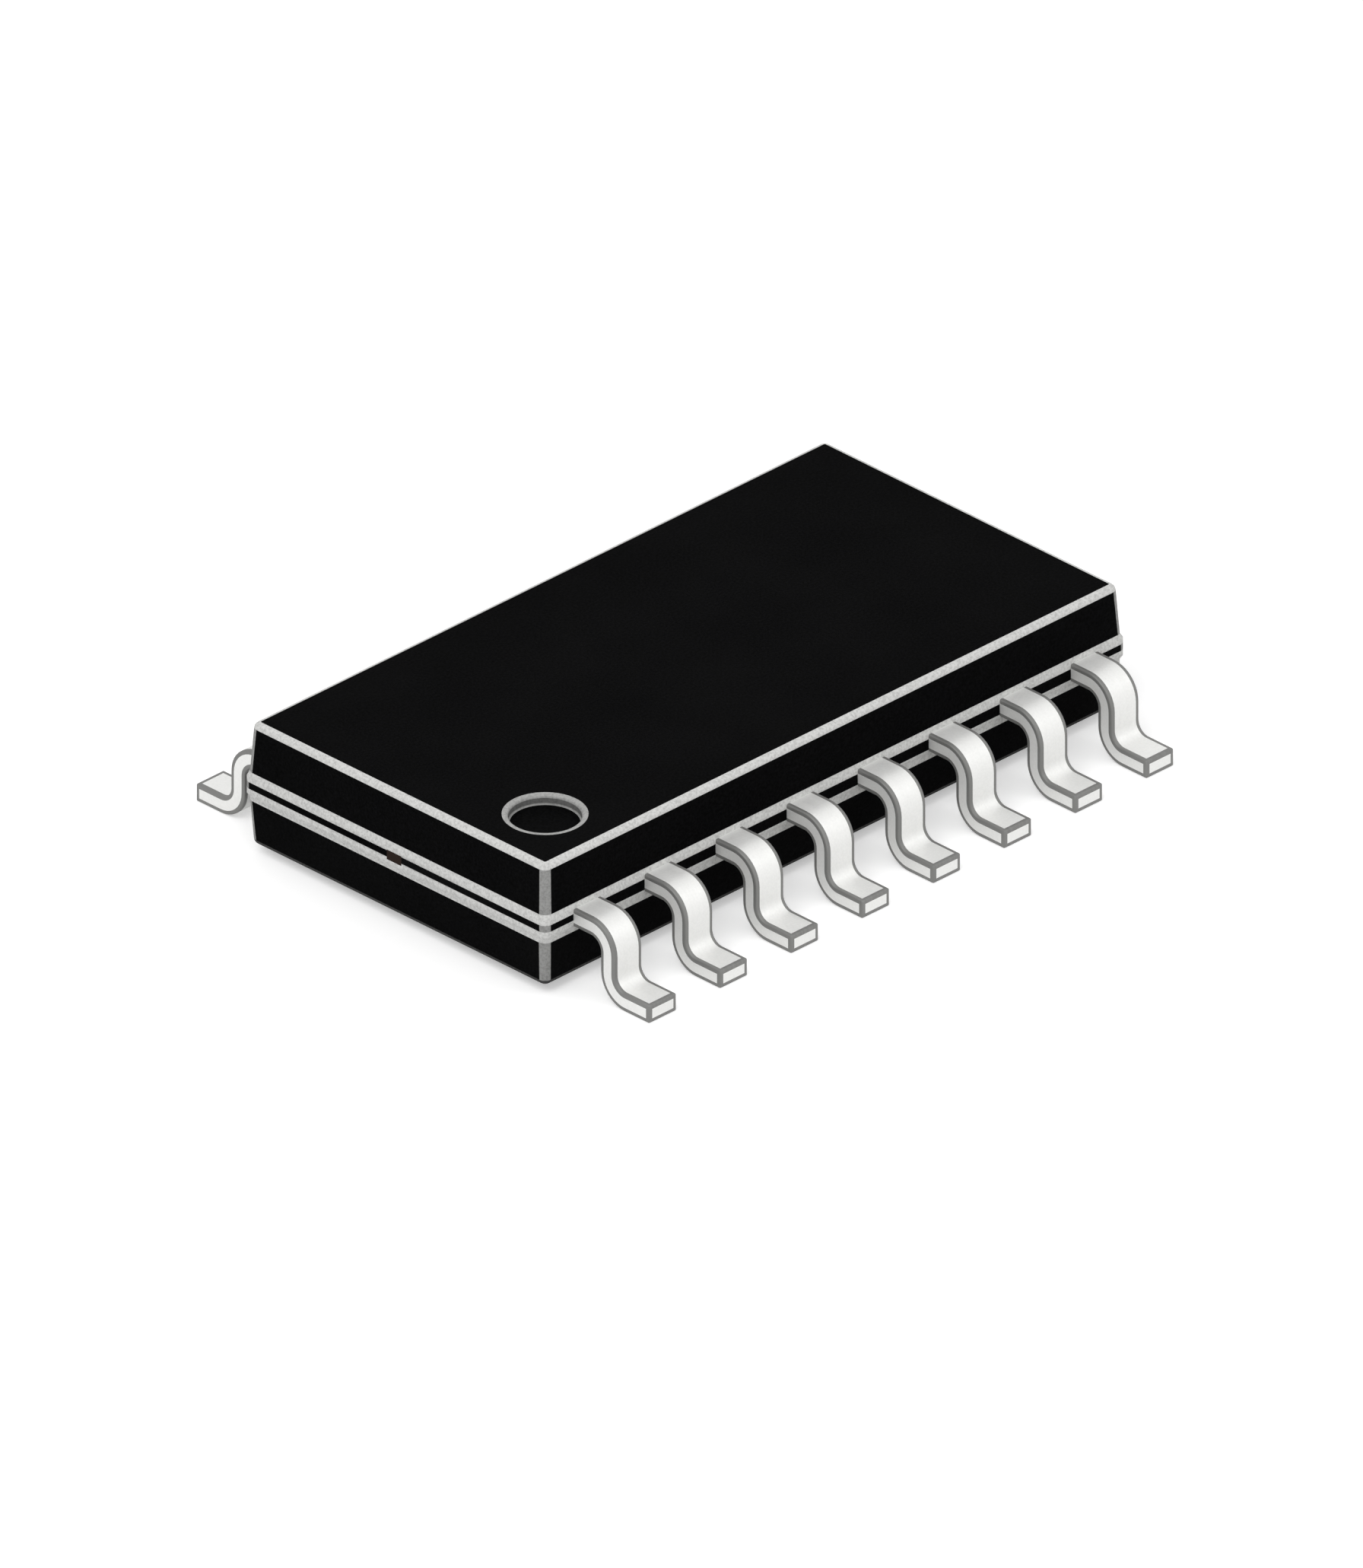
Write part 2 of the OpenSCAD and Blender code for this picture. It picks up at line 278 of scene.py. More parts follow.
wear_and_light = add_node(tree, "ShaderNodeMath", {
    0: edge_wear_and_light_mask.outputs["Fac"], 1: wear_and_light_amount.outputs[0]}, operation="MULTIPLY")
# Painted edge highlight: the marked faces get a pale grey, a little of it wear and most of it
# highlight.
colour = add_node(tree, "ShaderNodeMix", {
    FACTOR: wear_and_light.outputs[0], COLOUR_A: skin.outputs[MIXED], COLOUR_B: linear("#d2d2d0"),
}, data_type="RGBA")
gloss = add_node(tree, "ShaderNodeMapRange", {
    "Value": flow.outputs[0], "From Min": 0.3, "From Max": 0.7, "To Min": 0.58, "To Max": 0.72})
bump = add_node(tree, "ShaderNodeBump", {
    "Height": grain.outputs[0], "Strength": 0.5, "Distance": GRAIN_RELIEF})
surface = add_node(tree, "ShaderNodeBsdfPrincipled", {
    "Base Color": colour.outputs[MIXED],
    "Roughness": gloss.outputs[0],
    "IOR": 1.5,
    "Specular IOR Level": 0.01,
    "Normal": bump.outputs[0],
})
add_node(tree, "ShaderNodeOutputMaterial", {"Surface": surface.outputs[0]})
print("epoxy grain, mm:", FILLER_GRAIN_MM)

# %% [markdown]
# ## The tin on the leads
# The leads are copper alloy strip with matt tin plated on them: a bright, milky metal with crystals
# too small to see and faint lines along the strip from rolling. Both are drawn coarser than they
# are, so that they show. The crystals scatter about half of the light, so the metal is mixed with a
# white of the same tone, and the IOR stays at the default. The rolling lines run along the strip,
# which is always across X, so a noise that is fine in X and long the other ways follows every bend.
# Along the stamped edges a grey is painted as edge shade, on the rounding and on a narrow margin
# of the face beside it, so that each edge shows as a dark line.

# %% Make the tin
CRYSTAL_MM = 0.03
ROLLING_LINE_MM = 0.04
LINE_SQUEEZE = 0.03
TIN_RELIEF = 0.003 * MM

tin, tree, in_mm = new_material("matt_tin_plate")
crystals = add_node(tree, "ShaderNodeTexNoise", {
    "Vector": in_mm, "Scale": 1 / CRYSTAL_MM, "Detail": 2.0})
along_strip = add_node(tree, "ShaderNodeMapping", {
    "Vector": in_mm, "Scale": (1.0, LINE_SQUEEZE, LINE_SQUEEZE)})
lines = add_node(tree, "ShaderNodeTexNoise", {
    "Vector": along_strip.outputs[0], "Scale": 1 / ROLLING_LINE_MM, "Detail": 2.0})
tone = add_node(tree, "ShaderNodeMix", {
    FACTOR: crystals.outputs[0], COLOUR_A: linear("#e4e4e2"), COLOUR_B: linear("#f0f0ee"),
}, data_type="RGBA")
edge_wear_and_light_mask = add_node(tree, "ShaderNodeAttribute", attribute_name=EDGE_WEAR_AND_LIGHT)
# Painted edge shade: a grey for the marked faces along the stamped edges.
dull = add_node(tree, "ShaderNodeMix", {
    FACTOR: lines.outputs[0], COLOUR_A: linear("#6c6c6a"), COLOUR_B: linear("#929290"),
}, data_type="RGBA")
tin_with_edge_shade = add_node(tree, "ShaderNodeMix", {
    FACTOR: edge_wear_and_light_mask.outputs["Fac"], COLOUR_A: tone.outputs[MIXED], COLOUR_B: dull.outputs[MIXED],
}, data_type="RGBA")
matt = add_node(tree, "ShaderNodeMapRange", {
    "Value": lines.outputs[0], "From Min": 0.3, "From Max": 0.7, "To Min": 0.52, "To Max": 0.64})
relief = add_node(tree, "ShaderNodeMath", {
    0: crystals.outputs[0], 1: lines.outputs[0]}, operation="ADD")
bump = add_node(tree, "ShaderNodeBump", {
    "Height": relief.outputs[0], "Strength": 0.35, "Distance": TIN_RELIEF})
surface = add_node(tree, "ShaderNodeBsdfPrincipled", {
    "Base Color": tin_with_edge_shade.outputs[MIXED],
    "Metallic": 0.55,
    "Roughness": matt.outputs[0],
    "Normal": bump.outputs[0],
})
add_node(tree, "ShaderNodeOutputMaterial", {"Surface": surface.outputs[0]})
print("tin crystals, mm:", CRYSTAL_MM)

# %% [markdown]
# ## What the moulding holds
# The die pad is bare rolled copper alloy, warm and slightly stained. The cut ends of its two bars
# show at the ends of the package, where the copper has dulled to a dark brown. They are found by
# their place along X, because the pad and its bars are one piece.

# %% Make the copper of the die pad
STAIN_MM = 0.25
CUT_SKIN_MM = 0.02
CUT_END_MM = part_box("mould_body")[1].x / MM - CUT_SKIN_MM

copper, tree, in_mm = new_material("bare_copper_strip")
stain = add_node(tree, "ShaderNodeTexNoise", {"Vector": in_mm, "Scale": 1 / STAIN_MM, "Detail": 4.0})
place = add_node(tree, "ShaderNodeSeparateXYZ", {0: in_mm})
out_along_x = add_node(tree, "ShaderNodeMath", {0: place.outputs["X"]}, operation="ABSOLUTE")
at_cut = add_node(tree, "ShaderNodeMath", {
    0: out_along_x.outputs[0], 1: CUT_END_MM}, operation="GREATER_THAN")
tone = add_node(tree, "ShaderNodeMix", {
    FACTOR: stain.outputs[0], COLOUR_A: linear("#c98d68"), COLOUR_B: linear("#b07250"),
}, data_type="RGBA")
dulled = add_node(tree, "ShaderNodeMix", {
    FACTOR: at_cut.outputs[0], COLOUR_A: tone.outputs[MIXED], COLOUR_B: linear("#2c211c"),
}, data_type="RGBA")
matt = add_node(tree, "ShaderNodeMapRange", {
    "Value": at_cut.outputs[0], "To Min": 0.35, "To Max": 0.7})
surface = add_node(tree, "ShaderNodeBsdfPrincipled", {
    "Base Color": dulled.outputs[MIXED], "Metallic": 1.0, "Roughness": matt.outputs[0]})
add_node(tree, "ShaderNodeOutputMaterial", {"Surface": surface.outputs[0]})
print("copper is dull from this far out along X, mm:", round(CUT_END_MM, 3))

# %% [markdown]
# The glue is epoxy full of silver flakes, a dull grey that glitters a little. The die is silicon,
# polished to a dark mirror, with circuit blocks that show as a faint patchwork. The wires are gold,
# smooth from drawing. Voronoi cells give the flakes and the blocks, and the blocks are square cells,
# which the Chebychev distance makes.

# %% Make the glue, the silicon and the gold
FLAKE_MM = 1 / 60
CIRCUIT_BLOCK_MM = 0.2
DRAWN_LINE_MM = 0.025

silver_glue, tree, in_mm = new_material("silver_filled_glue")
flakes = add_node(tree, "ShaderNodeTexVoronoi", {"Vector": in_mm, "Scale": 1 / FLAKE_MM})
tone = add_node(tree, "ShaderNodeMix", {
    FACTOR: flakes.outputs["Distance"], COLOUR_A: linear("#c4c2bc"), COLOUR_B: linear("#8d8a84"),
}, data_type="RGBA")
surface = add_node(tree, "ShaderNodeBsdfPrincipled", {
    "Base Color": tone.outputs[MIXED], "Metallic": 0.4, "Roughness": 0.5})
add_node(tree, "ShaderNodeOutputMaterial", {"Surface": surface.outputs[0]})

silicon, tree, in_mm = new_material("polished_silicon")
blocks = add_node(tree, "ShaderNodeTexVoronoi", {
    "Vector": in_mm, "Scale": 1 / CIRCUIT_BLOCK_MM}, distance="CHEBYCHEV")
tone = add_node(tree, "ShaderNodeMix", {
    FACTOR: blocks.outputs["Distance"], COLOUR_A: linear("#5a6272"), COLOUR_B: linear("#7d6f86"),
}, data_type="RGBA")
surface = add_node(tree, "ShaderNodeBsdfPrincipled", {
    "Base Color": tone.outputs[MIXED], "Metallic": 0.6, "Roughness": 0.15})
add_node(tree, "ShaderNodeOutputMaterial", {"Surface": surface.outputs[0]})

gold, tree, in_mm = new_material("drawn_gold_wire")
drawn = add_node(tree, "ShaderNodeTexNoise", {
    "Vector": in_mm, "Scale": 1 / DRAWN_LINE_MM, "Detail": 2.0})
matt = add_node(tree, "ShaderNodeMapRange", {"Value": drawn.outputs[0], "To Min": 0.18, "To Max": 0.3})
surface = add_node(tree, "ShaderNodeBsdfPrincipled", {
    "Base Color": linear("#f0c35a"), "Metallic": 1.0, "Roughness": matt.outputs[0]})
add_node(tree, "ShaderNodeOutputMaterial", {"Surface": surface.outputs[0]})
print("circuit blocks, mm:", CIRCUIT_BLOCK_MM)

# %% [markdown]
# The pad, the glue, the die and the wires are the CAD nodes themselves, which stay as they are and
# only get these finishes.

# %% Dress the inner nodes
INSIDE_FINISH = {"die_pad": copper, "die_glue": silver_glue, "silicon_die": silicon, "bond_wire": gold}

dressed = 0
for name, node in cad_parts.items():
    for start, material in INSIDE_FINISH.items():
        if name.startswith(start):
            node.data.materials.clear()
            node.data.materials.append(material)
            dressed += 1
print("inner nodes with a finish:", dressed)

# %% [markdown]
# ## Helpers for the meshes
# A new piece starts as a bmesh, is shaped by operators, and becomes an object at the origin that
# rides on the frame's one body and stands for its CAD node. Large flat faces and small rounded
# edges meet all over this part, so the normals are weighted by area: the flats stay flat and the
# light turns only on the roundings. A weight of 50 is neutral, and 100 lets the large faces lead.

# %% Turn a bmesh into a piece
LARGE_FACES_LEAD = 100


def make_piece(bm, name, node, material):
    """Makes the bmesh an object that stands for the CAD node of the same place."""
    bmesh.ops.recalc_face_normals(bm, faces=bm.faces)
    mesh = bpy.data.meshes.new(name)
    bm.to_mesh(mesh)
    bm.free()
    mesh.materials.append(material)
    mesh.shade_smooth()
    piece = bpy.data.objects.new(name, mesh)
    bpy.context.scene.collection.objects.link(piece)
    weighted = piece.modifiers.new("flat_faces_stay_flat", "WEIGHTED_NORMAL")
    weighted.weight = LARGE_FACES_LEAD
    weighted.keep_sharp = True
    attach(piece, "root")
    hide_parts(node)
    return piece


def open_edges(bm):
    """How many edges don't join two faces. A closed piece has none."""
    return sum(1 for e in bm.edges if not e.is_manifold)


def box_difference(piece, node):
    """How far the corners of a piece's box lie from those of its CAD node, in millimetres."""
    points = [v.co for v in piece.data.vertices]
    low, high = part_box(node)
    gaps = [min(p[k] for p in points) - low[k] for k in range(3)]
    gaps += [max(p[k] for p in points) - high[k] for k in range(3)]
    return round(max(abs(g) for g in gaps) / MM, 4)


print("helpers ready for", len(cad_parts), "nodes")

# %% [markdown]
# ## The moulding
# The real body is pressed in a mould with two halves. Each half leans in for release, and the two
# meet at a band as thick as the lead strip, which stands a little proud all round. So the mesh
# starts as that band, and its upper and lower faces are extruded and scaled step by step, as a
# section that shrinks.

# %% Grow the body from its parting band
DRAFT = math.radians(3.5)
BAND_PROUD = 0.03 * MM
BAND_SLOPE = 0.05 * MM
STRIP_T = 0.25 * MM
STRIP_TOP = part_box("lead_1")[1].z
STRIP_LOW = STRIP_TOP - STRIP_T
LEVEL_COSINE = 0.99

body_low, body_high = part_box("mould_body")
body_size = body_high - body_low


def region(face):
    """A face with its edges and corners. Given all three, an extrude leaves no face inside."""
    return [face, *face.edges, *face.verts]


def grow(bm, face, rise, inset):
    """Extrudes a level rectangle, lifts it and moves each of its sides in by inset."""
    made = bmesh.ops.extrude_face_region(bm, geom=region(face))["geom"]
    corners = [g for g in made if isinstance(g, bmesh.types.BMVert)]
    long_x = max(v.co.x for v in corners) - min(v.co.x for v in corners)
    long_y = max(v.co.y for v in corners) - min(v.co.y for v in corners)
    shrink = ((long_x - 2 * inset) / long_x, (long_y - 2 * inset) / long_y, 1)
    bmesh.ops.scale(bm, verts=corners, vec=shrink)
    bmesh.ops.translate(bm, verts=corners, vec=(0, 0, rise))
    return next(g for g in made if isinstance(g, bmesh.types.BMFace))


bm = bmesh.new()
bmesh.ops.create_cube(bm, size=1)
bmesh.ops.scale(bm, verts=bm.verts, vec=(body_size.x, body_size.y, STRIP_T))
bmesh.ops.translate(bm, verts=bm.verts, vec=(0, 0, STRIP_TOP - STRIP_T / 2))
upper_wall = body_high.z - STRIP_TOP - BAND_SLOPE
lower_wall = STRIP_LOW - body_low.z - BAND_SLOPE
for up, wall in ((1, upper_wall), (-1, lower_wall)):
    bm.normal_update()
    face = next(f for f in bm.faces if f.normal.z * up > LEVEL_COSINE)
    face = grow(bm, face, up * BAND_SLOPE, BAND_PROUD)
    grow(bm, face, up * wall, wall * math.tan(DRAFT))
print("sections grown, open edges:", open_edges(bm))

# %% [markdown]
# The mould's cutter rounded the upright corners, and the edges of the top and the underside are
# round so that the brittle epoxy doesn't chip. The band has small radii, because the two halves of
# the mould wear there. A bevel makes each, the upright corners first, so that the level edges are
# already whole rings when their turn comes.

# %% Round the corners and the edges
CORNER_R, CORNER_STEPS = 0.1 * MM, 6
EDGE_R, EDGE_STEPS = 0.08 * MM, 5
BAND_EDGE_R, BAND_EDGE_STEPS = 0.03 * MM, 4
SLOPE_EDGE_R, SLOPE_EDGE_STEPS = 0.008 * MM, 2
STEEP = 0.3
SAME_PLACE = 0.0001 * MM


def bevel(bm, edges, offset, segments):
    """Rounds these edges, and returns the faces of the rounding."""
    return bmesh.ops.bevel(
        bm, geom=edges, offset=offset, offset_type="OFFSET", affect="EDGES", segments=segments,
        profile=0.5, material=-1, clamp_overlap=True)["faces"]


def rise_share(edge):
    """How much of an edge's length goes upwards: 0 for a level edge, 1 for an upright one."""
    return abs((edge.verts[0].co - edge.verts[1].co).normalized().z)


def edges_at(bm, *levels):
    """The level edges of the mesh at any of these heights."""
    return [e for e in bm.edges
            if any(all(abs(v.co.z - z) < SAME_PLACE for v in e.verts) for z in levels)]


bm.normal_update()
bevel(bm, [e for e in bm.edges if rise_share(e) > STEEP], CORNER_R, CORNER_STEPS)
bevel(bm, edges_at(bm, body_low.z, body_high.z), EDGE_R, EDGE_STEPS)
bevel(bm, edges_at(bm, STRIP_LOW, STRIP_TOP), BAND_EDGE_R, BAND_EDGE_STEPS)
slope_ends = edges_at(bm, STRIP_LOW - BAND_SLOPE, STRIP_TOP + BAND_SLOPE)
bevel(bm, slope_ends, SLOPE_EDGE_R, SLOPE_EDGE_STEPS)
print("faces after rounding:", len(bm.faces), "open edges:", open_edges(bm))

# %% [markdown]
# The dimple and the two ejector marks were left by round pins that stood out of the mould's walls.
# Each is described by a small profile, the radius and the depth of every ring from the flat face
# inwards: a flat border, a rolled rim, a wall and a rounded foot.

# %% Draw the profiles of the round recesses
ARC_STEPS = 4
BORDER = 0.04 * MM
DIMPLE_R = 0.47 * MM
DIMPLE_DEPTH = 0.13 * MM
DIMPLE_RIM = 0.04 * MM
DIMPLE_FOOT = 0.02 * MM
EJECTOR_R = 0.6 * MM
EJECTOR_DEPTH = 0.04 * MM
EJECTOR_RIM = 0.012 * MM
EJECTOR_FOOT = 0.01 * MM


def recess_profile(radius, depth, rim, foot):
    """The radius and the depth of each ring of a recess, from its border to its floor."""
    quarter = [math.radians(90 * i / ARC_STEPS) for i in range(ARC_STEPS + 1)]
    rolled = [(radius + rim * (1 - math.sin(a)), rim * (1 - math.cos(a))) for a in quarter]
    rounded = [(radius - foot * (1 - math.cos(a)), depth - foot * (1 - math.sin(a))) for a in quarter]
    return [(radius + rim + BORDER, 0.0)] + rolled + rounded


dimple_profile = recess_profile(DIMPLE_R, DIMPLE_DEPTH, DIMPLE_RIM, DIMPLE_FOOT)
ejector_profile = recess_profile(EJECTOR_R, EJECTOR_DEPTH, EJECTOR_RIM, EJECTOR_FOOT)
print("rings in a recess:", len(dimple_profile))
print("depth of the dimple, mm:", round(dimple_profile[-1][1] / MM, 3))

# %% [markdown]
# A round hole needs a ring of points in the flat face. So the face is taken out and filled again
# round the rings, and each ring is extruded inwards and down along its profile, until a last face
# closes the floor.

# %% Sink the round recesses
RING_POINTS = 64
DIMPLE_IN = 0.96 * MM
EJECTOR_X = 3.2 * MM


def edges_of(corners):
    """Every edge that meets one of these corners, once each and always in the same order."""
    return list(dict.fromkeys(e for v in corners for e in v.link_edges))


def sink_round(bm, face, centres, profile):
    """Opens a level face, and sinks a round recess with this profile at each centre."""
    level = face.verts[0].co.z
    up = math.copysign(1, face.normal.z)
    outline = list(face.edges)
    bmesh.ops.delete(bm, geom=[face], context="FACES_ONLY")
    rings = []
    for x, y in centres:
        place = Matrix.Translation((x, y, level))
        made = bmesh.ops.create_circle(bm, segments=RING_POINTS, radius=profile[0][0], matrix=place)
        rings.append(edges_of(made["verts"]))
    bmesh.ops.triangle_fill(bm, edges=outline + sum(rings, []), use_beauty=True)
    for (x, y), ring in zip(centres, rings):
        about = Matrix.Translation((-x, -y, 0))
        for (r0, d0), (r1, d1) in zip(profile, profile[1:]):
            made = bmesh.ops.extrude_edge_only(bm, edges=ring)["geom"]
            corners = [g for g in made if isinstance(g, bmesh.types.BMVert)]
            ring = [e for e in edges_of(corners) if all(v in corners for v in e.verts)]
            bmesh.ops.scale(bm, verts=corners, vec=(r1 / r0, r1 / r0, 1), space=about)
            bmesh.ops.translate(bm, verts=corners, vec=(0, 0, -up * (d1 - d0)))
        bmesh.ops.contextual_create(bm, geom=ring)


def level_face(bm, up):
    """The largest face that looks straight up, or straight down where up is -1."""
    bm.normal_update()
    return max((f for f in bm.faces if f.normal.z * up > LEVEL_COSINE), key=lambda f: f.calc_area())


top_inset = BAND_PROUD + upper_wall * math.tan(DRAFT)
dimple_at = (body_low.x + top_inset + DIMPLE_IN, body_low.y + top_inset + DIMPLE_IN)
sink_round(bm, level_face(bm, 1), [dimple_at], dimple_profile)
sink_round(bm, level_face(bm, -1), [(-EJECTOR_X, 0), (EJECTOR_X, 0)], ejector_profile)
print("faces with the recesses:", len(bm.faces), "open edges:", open_edges(bm))

# %% [markdown]
# The two bars that held the die pad in the strip are cut off flush with the ends of the band. Each
# shows there as a small dark rectangle, so the band gets an opening for it at either end. Four cuts
# frame the opening, and the face between them is pushed in.

# %% Open the band for the cut bars
BAR_W = 0.26 * MM
BAR_T = 0.14 * MM
SOCKET = 0.1 * MM
STRIP_MIDDLE = (STRIP_LOW + STRIP_TOP) / 2
END_COSINE = 0.999


def push(bm, face, way):
    """Extrudes a face straight by the vector way, and returns the new end face."""
    made = bmesh.ops.extrude_face_region(bm, geom=region(face))["geom"]
    bmesh.ops.translate(bm, verts=[g for g in made if isinstance(g, bmesh.types.BMVert)], vec=way)
    return next(g for g in made if isinstance(g, bmesh.types.BMFace))


def bar_face(bm, way):
    """Of the faces that look straight out of the band's end, the one nearest to its middle."""
    bm.normal_update()
    middle = Vector((way * body_high.x, 0, STRIP_MIDDLE))
    ends = [f for f in bm.faces if f.normal.x * way > END_COSINE]
    on_band = [f for f in ends if abs(f.calc_center_median().z - STRIP_MIDDLE) < STRIP_T / 2]
    return min(on_band, key=lambda f: (f.calc_center_median() - middle).length)


frame_cuts = [((0, y, 0), (0, 1, 0)) for y in (-BAR_W / 2, BAR_W / 2)]
frame_cuts += [((0, 0, STRIP_MIDDLE + h), (0, 0, 1)) for h in (-BAR_T / 2, BAR_T / 2)]
for way in (-1, 1):
    for point, normal in frame_cuts:
        bmesh.ops.bisect_plane(bm, geom=region(bar_face(bm, way)), plane_co=point, plane_no=normal)
    opening = bar_face(bm, way)
    print("opening for a bar, mm2:", round(opening.calc_area() / MM ** 2, 4))
    push(bm, opening, (-way * SOCKET, 0, 0))
print("meant to be, mm2:", round(BAR_W * BAR_T / MM ** 2, 4))
print("faces with the openings:", len(bm.faces), "open edges:", open_edges(bm))

# %% [markdown]
# The band stands proud, so both of its slopes wear a little paler, and a pale grey is painted on
# them as edge highlights, with a narrow strip of the band's face and of the wall next to each; the
# middle of the band stays black. The lower slope faces down, so its pale strip is mostly painted
# highlight. Between the leads the press has cut away the strip's dam bars, and the leads shade the
# lower strip, so there it is set lower to paint more highlight. Cuts all round the moulding bound
# these strips. They leave faces with more than four corners, some of them on one line, and an export
# could make triangles without any area of those, so such faces are made triangles here.

# %% Cut the bounds of the rubbed strips
LOWER_ON_WALL = 0.04 * MM
LOWER_ON_BAND = 0.09 * MM
UPPER_ON_BAND = 0.065 * MM
UPPER_ON_WALL = 0.02 * MM
# The strip between the leads reaches lower, as a painted highlight against the shade of the leads.
LIT_STRIP_DROP = 0.04 * MM
LIT_STRIP_ON_BAND = 0.03 * MM
ROW_LEADS = 8
LEAD_PITCH = 1.27 * MM

LOWER_STRIP = (STRIP_LOW - BAND_SLOPE - LOWER_ON_WALL, STRIP_LOW + LOWER_ON_BAND)
UPPER_STRIP = (STRIP_TOP - UPPER_ON_BAND, STRIP_TOP + BAND_SLOPE + UPPER_ON_WALL)
LIT_STRIP_BETWEEN_LEADS = (LOWER_STRIP[0] - LIT_STRIP_DROP, STRIP_LOW + LIT_STRIP_ON_BAND)
TRIMMED_X = (ROW_LEADS - 1) / 2 * LEAD_PITCH

cuts = [((0, 0, z), (0, 0, 1)) for z in LOWER_STRIP + UPPER_STRIP + LIT_STRIP_BETWEEN_LEADS]
cuts += [((x, 0, 0), (1, 0, 0)) for x in (-TRIMMED_X, TRIMMED_X)]
for point, normal in cuts:
    everything = [*bm.verts, *bm.edges, *bm.faces]
    bmesh.ops.bisect_plane(bm, geom=everything, plane_co=point, plane_no=normal)
many_cornered = [f for f in bm.faces if len(f.verts) > 4]
bmesh.ops.triangulate(bm, faces=many_cornered, quad_method="BEAUTY", ngon_method="BEAUTY")
print("faces with more than four corners, now triangles:", len(many_cornered))

# %% [markdown]
# Which faces wear paler and are painted with an edge highlight, apart from the strips? Those that
# turn: the rims, the upright corners and the rim of the dimple. Such a face looks neither along X, Y
# nor Z, so its normal tells. The rims at the top and the band are painted palest, and the underside,
# which nothing touches, least. In the dimple the corner of the floor is painted paler too, with a
# little on the wall.

# %% Mark the edges that wear paler and get a painted highlight, and make the piece
TURNED_COSINE = math.cos(math.radians(7))
LONG_SIDE_COSINE = 0.8
DIMPLE_WALL_COSINE = 0.05
# How pale each kind of face is painted, wear and edge highlight together.
WEAR_AND_LIGHT_TOP = 1.0
WEAR_AND_LIGHT_BAND = 1.0
WEAR_AND_LIGHT_CORNER = 0.48
WEAR_AND_LIGHT_DIMPLE = 0.62
WEAR_AND_LIGHT_UNDER = 0.1
DIMPLE_PALE_CORNER = 0.5
DIMPLE_PALE_WALL = 0.25


def dimple_share(face, middle):
    """How pale a face of the dimple is: its rim wears paler and gets a painted highlight, and below
    the rim the wall and the corner of the floor are painted paler.
    """
    if middle.z > body_high.z - DIMPLE_RIM:
        return WEAR_AND_LIGHT_DIMPLE
    if face.normal.z < DIMPLE_WALL_COSINE:
        return DIMPLE_PALE_WALL
    return DIMPLE_PALE_CORNER if face.normal.z < LEVEL_COSINE else 0.0


def wear_and_light_share(face):
    """How pale this face of the moulding is painted, wear and edge highlight together, from 0 to 1."""
    middle = face.calc_center_median()
    from_dimple = math.hypot(middle.x - dimple_at[0], middle.y - dimple_at[1])
    if middle.z > STRIP_TOP and from_dimple < DIMPLE_R + DIMPLE_RIM + BORDER:
        return dimple_share(face, middle)
    between_leads = abs(middle.x) < TRIMMED_X and abs(face.normal.y) > LONG_SIDE_COSINE
    lower_strip = LIT_STRIP_BETWEEN_LEADS if between_leads else LOWER_STRIP
    if any(low < middle.z < high for low, high in (lower_strip, UPPER_STRIP)):
        return WEAR_AND_LIGHT_BAND
    if max(abs(c) for c in face.normal) > TURNED_COSINE:
        return 0.0
    if middle.z < body_low.z + EDGE_R:
        return WEAR_AND_LIGHT_UNDER
    return WEAR_AND_LIGHT_TOP if middle.z > body_high.z - EDGE_R else WEAR_AND_LIGHT_CORNER


bmesh.ops.recalc_face_normals(bm, faces=bm.faces)
edge_wear_and_light_layer = bm.faces.layers.float.new(EDGE_WEAR_AND_LIGHT)
for face in bm.faces:
    face[edge_wear_and_light_layer] = wear_and_light_share(face)
moulding = make_piece(bm, "moulding", "mould_body", epoxy)
print("moulding differs from its CAD node by, mm:", box_difference(moulding, "mould_body"))

# %% [markdown]
# ## The leads
# A real lead is stamped flat and then bent in a press, down the leg and out along the foot. The
# flat part inside the moulding, with its root, its hole and its finger, is exact in the CAD model,
# so each new lead keeps a copy of that. The copy is cut off just inside the wall, where nobody sees
# the joint. A CAD node is made of loose triangles, so its doubles are merged first, and triangles
# that lie in one plane are joined to whole faces again.

# %% Keep the inner part of a lead
CUT_INSIDE = 0.045 * MM
SAME_PLANE = math.radians(1)

cut_y = body_high.y - CUT_INSIDE


def inner_part(node_name, side):
    """A bmesh of the CAD lead up to the cut on this side, +1 or -1 in Y, and the face at the cut."""
    bm = bmesh.new()
    bm.from_mesh(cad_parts[node_name].data)
    bmesh.ops.remove_doubles(bm, verts=bm.verts, dist=SAME_PLACE)
    bmesh.ops.dissolve_limit(bm, angle_limit=SAME_PLANE, verts=bm.verts, edges=bm.edges)
    cut = bmesh.ops.bisect_plane(
        bm, geom=[*bm.verts, *bm.edges, *bm.faces], plane_co=(0, side * cut_y, 0),
        plane_no=(0, side, 0), clear_outer=True)["geom_cut"]
    cut_edges = [g for g in cut if isinstance(g, bmesh.types.BMEdge)]
    return bm, bmesh.ops.contextual_create(bm, geom=cut_edges)["faces"][0]


print("leads are cut this far out along Y, mm:", round(cut_y / MM, 3))

# %% [markdown]
# The rest of the lead is grown from the cut as the press would have it: pushed straight out, spun
# round the shoulder, pushed down, spun round the heel and pushed out to the toe. Both bends have the
# same inside radius, and the strip keeps its thickness round them.

# %% Bend the outer part
LEG_OUT = 0.73 * MM
FOOT_L = 0.62 * MM
BEND_R = 0.18 * MM
BEND_STEPS = 10
QUARTER_TURN = math.pi / 2

bend_out = BEND_R + STRIP_T
leg_face = body_high.y + LEG_OUT


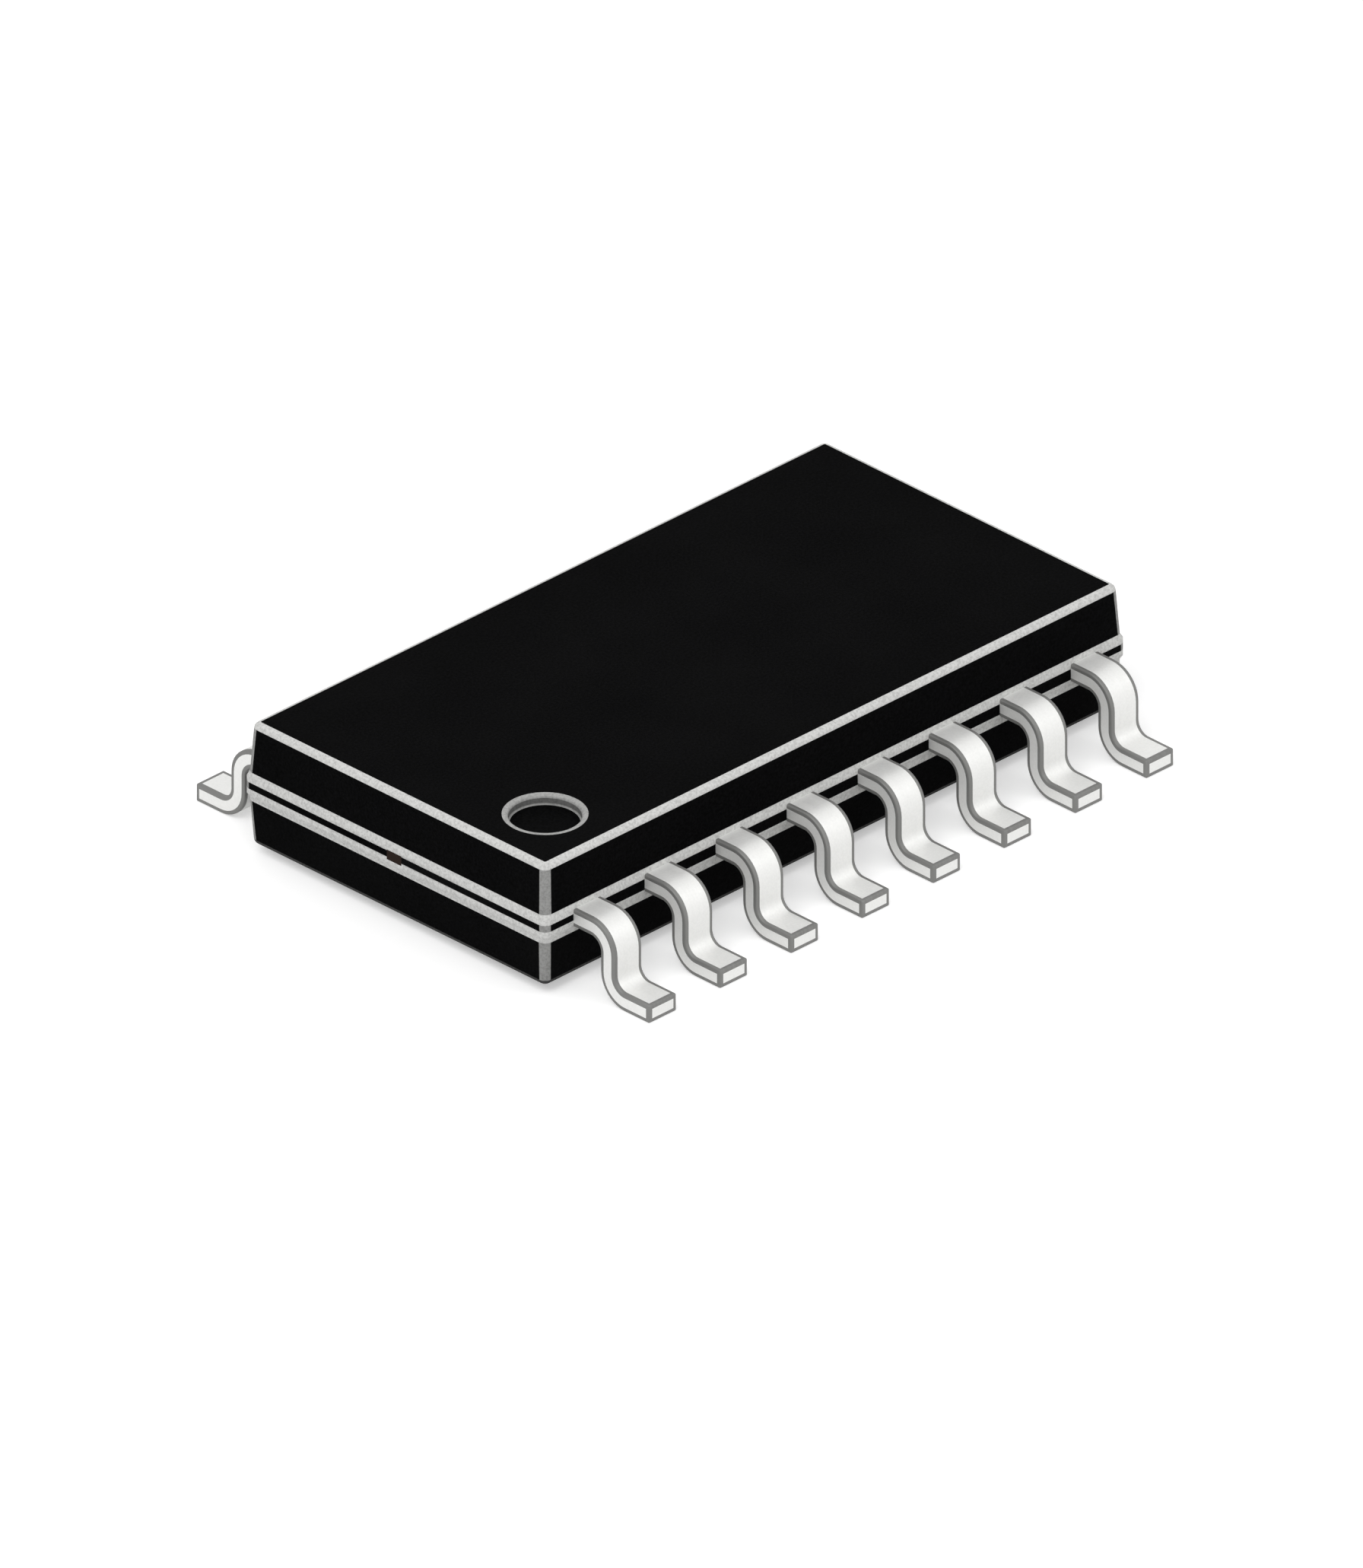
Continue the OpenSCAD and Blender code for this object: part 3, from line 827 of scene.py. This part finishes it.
def turn(bm, face, y, z, angle):
    """Spins a face round a line along X, and returns the new end face."""
    last = bmesh.ops.spin(
        bm, geom=region(face), cent=(0, y, z), axis=(1, 0, 0), dvec=(0, 0, 0), angle=angle,
        steps=BEND_STEPS, use_merge=False, use_duplicate=False)["geom_last"]
    return next(g for g in last if isinstance(g, bmesh.types.BMFace))


def bend_outwards(bm, end, side, top):
    """Grows the shoulder, the leg, the heel and the foot out of a lead's end face."""
    shoulder_y = leg_face - bend_out
    end = push(bm, end, (0, side * (shoulder_y - cut_y), 0))
    end = turn(bm, end, side * shoulder_y, top - bend_out, -side * QUARTER_TURN)
    end = push(bm, end, (0, 0, 2 * bend_out - top))
    end = turn(bm, end, side * (leg_face + BEND_R), bend_out, side * QUARTER_TURN)
    push(bm, end, (0, side * (FOOT_L - BEND_R), 0))


print("toes reach this far out along Y, mm:", round((leg_face + FOOT_L) / MM, 3))

# %% [markdown]
# The stamped edges are then rounded a little, and an inset draws a margin on the faces beside
# them. Both get the attribute with which the tin paints its edge shade. The inner part is left as it
# is.

# %% Round the stamped edges, mark them for painted shade and make the pieces
STAMPED_R = 0.02 * MM
STAMPED_STEPS = 3
SHADED_MARGIN = 0.036 * MM
SHARP = math.radians(50)
CUT_MARGIN = 0.001 * MM


def is_outside(part, side):
    """Whether an edge or a face lies beyond the cut with all of its corners."""
    return all(v.co.y * side > cut_y - CUT_MARGIN for v in part.verts)


def round_and_shade_edges(bm, side):
    """Rounds the stamped edges beyond the cut, and marks them and a margin beside them for painted
    edge shade.
    """
    bm.normal_update()
    outside = [e for e in bm.edges if is_outside(e, side) and len(e.link_faces) == 2]
    stamped = [e for e in outside if e.calc_face_angle() > SHARP]
    edge_wear_and_light_layer = bm.faces.layers.float.new(EDGE_WEAR_AND_LIGHT)
    for face in bevel(bm, stamped, STAMPED_R, STAMPED_STEPS):
        face[edge_wear_and_light_layer] = 1.0
    flat = [f for f in bm.faces if f[edge_wear_and_light_layer] == 0 and is_outside(f, side)]
    margin = bmesh.ops.inset_region(
        bm, faces=flat, thickness=SHADED_MARGIN, use_boundary=True, use_even_offset=True)["faces"]
    for face in margin:
        face[edge_wear_and_light_layer] = 1.0


LEADS = [name for name in sorted(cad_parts) if name.startswith("lead_")]
faces, gaps, worst = 0, 0, 0
for name in LEADS:
    low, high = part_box(name)
    side = 1 if low.y + high.y > 0 else -1
    bm, end = inner_part(name, side)
    bend_outwards(bm, end, side, high.z)
    round_and_shade_edges(bm, side)
    faces += len(bm.faces)
    gaps += open_edges(bm)
    lead = make_piece(bm, "tinned_" + name, name, tin)
    worst = max(worst, box_difference(lead, name))
print("leads grown:", len(LEADS), "faces in all:", faces, "open edges:", gaps)
print("largest difference from a CAD node, mm:", worst)

# %% Show the size of the visible parts
low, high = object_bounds()
print("visual box, mm:", [round(v / MM, 3) for v in (*low, *high)])
